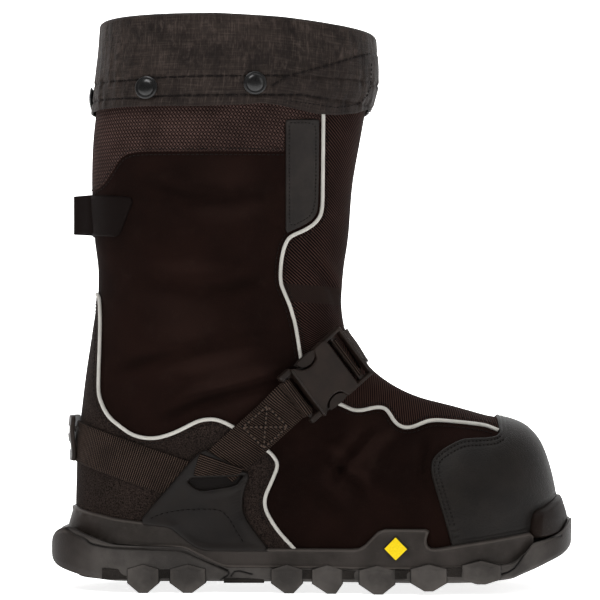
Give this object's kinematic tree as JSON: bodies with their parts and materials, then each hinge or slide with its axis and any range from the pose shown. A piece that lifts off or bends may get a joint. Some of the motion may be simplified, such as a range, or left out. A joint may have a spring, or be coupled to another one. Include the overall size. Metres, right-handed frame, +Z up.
{
  "type": "winter overshoe, right foot",
  "caption": "Tall insulated winter overshoe with lugged rubber sole, folded storm cuff, toe and heel overlays and a buckled ankle strap.",
  "frame": {"origin": "centre of the footprint on the floor, under the middle of the shoe", "axes": "+X towards the toe, +Y towards the inner side of the right foot, +Z up"},
  "size_m": [0.34, 0.1322, 0.3666],
  "materials": {
    "shaft_cloth": "ballistic weave, matt",
    "ripstop": "coated ripstop, slight gloss",
    "insole_felt": "felt",
    "sole_rubber": "satin",
    "rand_rubber": "satin",
    "toe_leather": "fine pebbled grain",
    "counter_cloth": "pebbled, mottled",
    "moulded_anchor": "moulded, raised rim",
    "webbing": "ribbed webbing",
    "buckle_plastic": "satin",
    "snap_metal": "dark lacquer, glossy",
    "piping_light": "reflective piping",
    "badge_yellow": "moulded"
  },
  "bodies": {
    "root": {"upper": "shaft_cloth", "cuff": "ripstop", "insole": "insole_felt", "outsole": "sole_rubber", "sidewall": "rand_rubber", "toe_bumper": "rand_rubber", "toe_cap": "toe_leather", "heel_counter": "counter_cloth", "anchor_outer": "moulded_anchor", "anchor_inner": "moulded_anchor", "heel_strap": "webbing", "front_strap": "webbing", "instep_strap": "webbing", "buckle_shell": "buckle_plastic", "buckle_prongs": "buckle_plastic", "heel_slider": "buckle_plastic", "rear_tab": "shaft_cloth", "snap_outer_back": "snap_metal", "snap_outer_front": "snap_metal", "snap_inner_back": "snap_metal", "snap_inner_front": "snap_metal", "snap_back": "snap_metal", "badge": "badge_yellow"}
  },
  "joints": []
}
